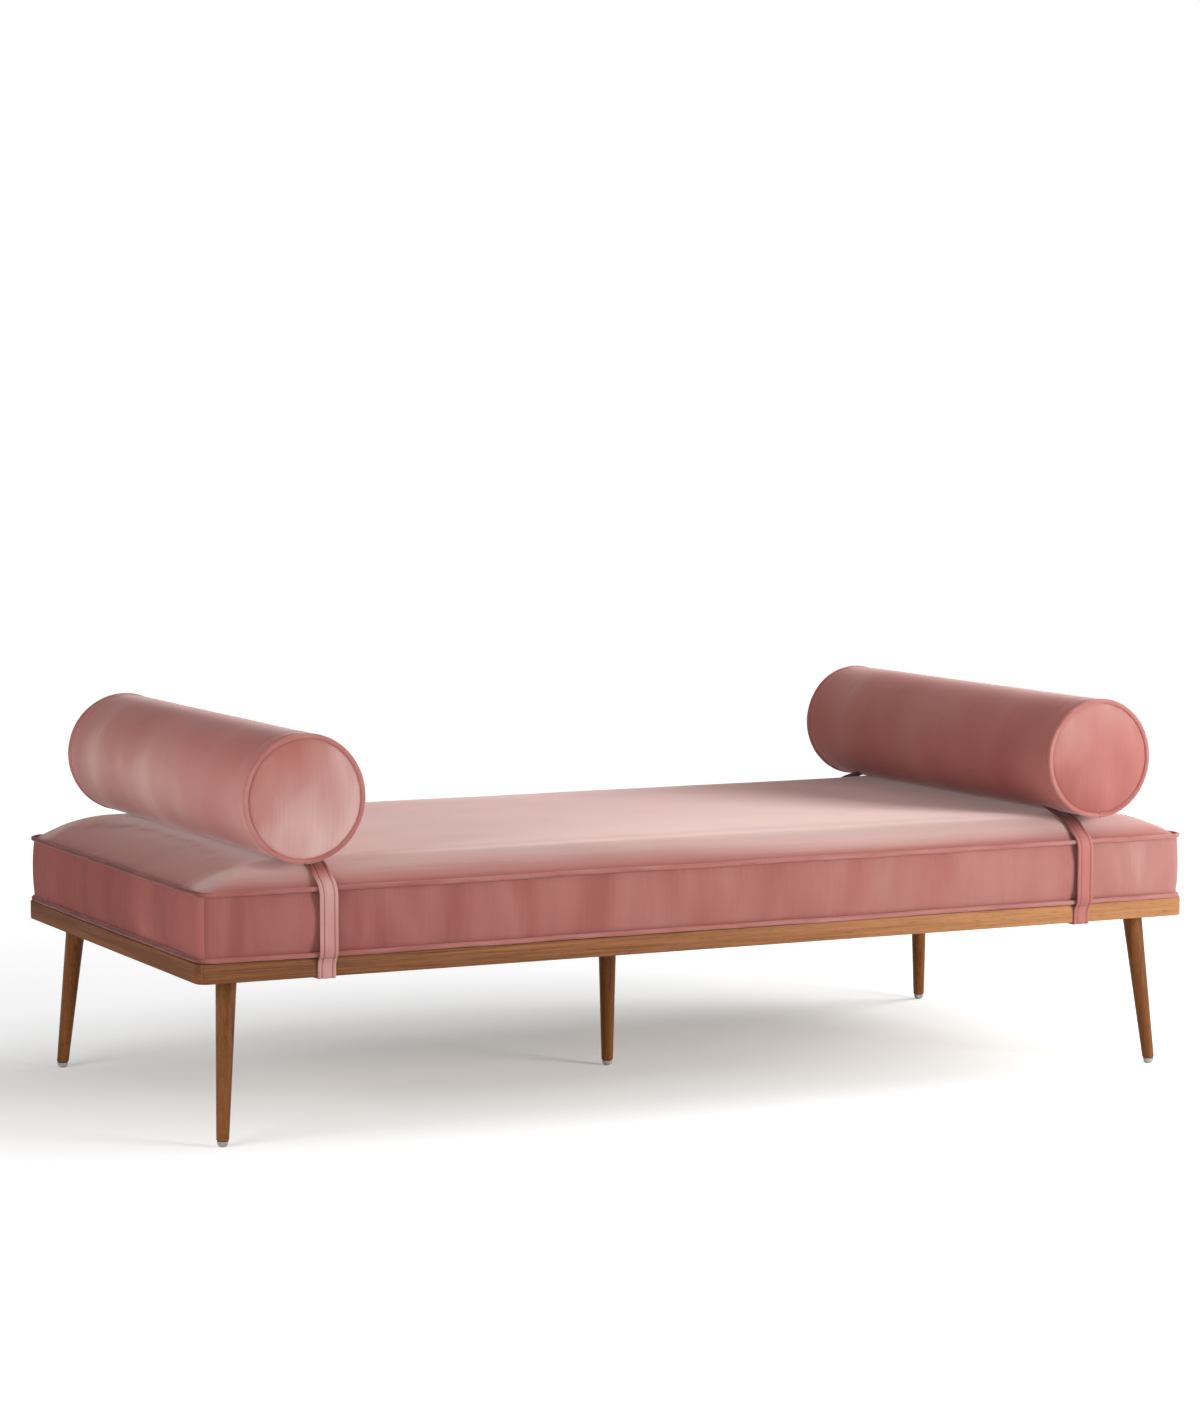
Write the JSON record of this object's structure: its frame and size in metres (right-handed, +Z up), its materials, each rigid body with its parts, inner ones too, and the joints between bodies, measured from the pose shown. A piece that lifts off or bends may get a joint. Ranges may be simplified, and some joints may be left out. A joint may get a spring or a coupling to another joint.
{
  "type": "backless divan",
  "caption": "Backless upholstered divan: crowned velvet mattress on a slatted wood frame with splayed tapered legs, and strapped bolsters that slide along it.",
  "frame": {"origin": "on the floor, below the middle of the frame", "axes": "+X along the divan to the right-hand bolster, +Y to its rear, +Z up"},
  "size_m": [1.911, 0.907, 0.674],
  "materials": {
    "velvet": "matte",
    "base_cloth": "matte",
    "foam": "matte",
    "zip_tape": "matte",
    "hook_and_loop": "matte",
    "slider_metal": "satin",
    "rail_oak": "satin",
    "leg_walnut": "satin",
    "slat_plywood": "matte",
    "inner_pine": "matte",
    "plate_steel": "satin",
    "screw_steel": "satin",
    "glide_nylon": "satin"
  },
  "bodies": {
    "base": {"beam_brackets": "plate_steel", "centre_beam": "inner_pine", "corner_block_front_left": "inner_pine", "corner_block_front_right": "inner_pine", "corner_block_rear_left": "inner_pine", "corner_block_rear_right": "inner_pine", "foot_glides": "glide_nylon", "frame_screws": "screw_steel", "hanger_bolts": "screw_steel", "leg_centre": "leg_walnut", "leg_front_left": "leg_walnut", "leg_front_right": "leg_walnut", "leg_plate_screws": "screw_steel", "leg_plates": "plate_steel", "leg_rear_left": "leg_walnut", "leg_rear_right": "leg_walnut", "mattress_bottom_panel": "base_cloth", "mattress_boxing": "velvet", "mattress_core": "foam", "mattress_piping_bottom": "velvet", "mattress_piping_top": "velvet", "mattress_top_panel": "velvet", "mattress_zip": "zip_tape", "rail_front": "rail_oak", "rail_left": "rail_oak", "rail_rear": "rail_oak", "rail_right": "rail_oak", "slat_1": "slat_plywood", "slat_2": "slat_plywood", "slat_3": "slat_plywood", "slat_4": "slat_plywood", "slat_5": "slat_plywood", "slat_6": "slat_plywood", "slat_7": "slat_plywood", "slat_8": "slat_plywood", "slat_9": "slat_plywood", "slat_ledger_front": "inner_pine", "slat_ledger_rear": "inner_pine", "slat_screws": "screw_steel"},
    "left_bolster": {"left_bolster_core": "foam", "left_bolster_front_disc": "velvet", "left_bolster_piping": "velvet", "left_bolster_rear_disc": "velvet", "left_bolster_strap_closure": "hook_and_loop", "left_bolster_strap_front": "velvet", "left_bolster_strap_rear": "velvet", "left_bolster_tube": "velvet", "left_bolster_zip": "zip_tape"},
    "right_bolster": {"right_bolster_core": "foam", "right_bolster_front_disc": "velvet", "right_bolster_piping": "velvet", "right_bolster_rear_disc": "velvet", "right_bolster_strap_closure": "hook_and_loop", "right_bolster_strap_front": "velvet", "right_bolster_strap_rear": "velvet", "right_bolster_tube": "velvet", "right_bolster_zip": "zip_tape"},
    "mattress_slider": {"mattress_zip_slider": "slider_metal"},
    "left_bolster_slider": {"left_bolster_zip_slider": "slider_metal"},
    "right_bolster_slider": {"right_bolster_zip_slider": "slider_metal"}
  },
  "joints": [
    {"name": "left_bolster_slide", "type": "slide", "parent": "base", "child": "left_bolster", "axis": [1, 0, 0], "range_m": [-0.06, 0.64]},
    {"name": "right_bolster_slide", "type": "slide", "parent": "base", "child": "right_bolster", "axis": [-1, 0, 0], "range_m": [-0.06, 0.64]},
    {"name": "mattress_zip_slide", "type": "slide", "parent": "base", "child": "mattress_slider", "axis": [-1, 0, 0], "range_m": [0, 1.2]},
    {"name": "left_bolster_zip_slide", "type": "slide", "parent": "left_bolster", "child": "left_bolster_slider", "axis": [0, -1, 0], "range_m": [0, 0.7]},
    {"name": "right_bolster_zip_slide", "type": "slide", "parent": "right_bolster", "child": "right_bolster_slider", "axis": [0, -1, 0], "range_m": [0, 0.7]}
  ]
}
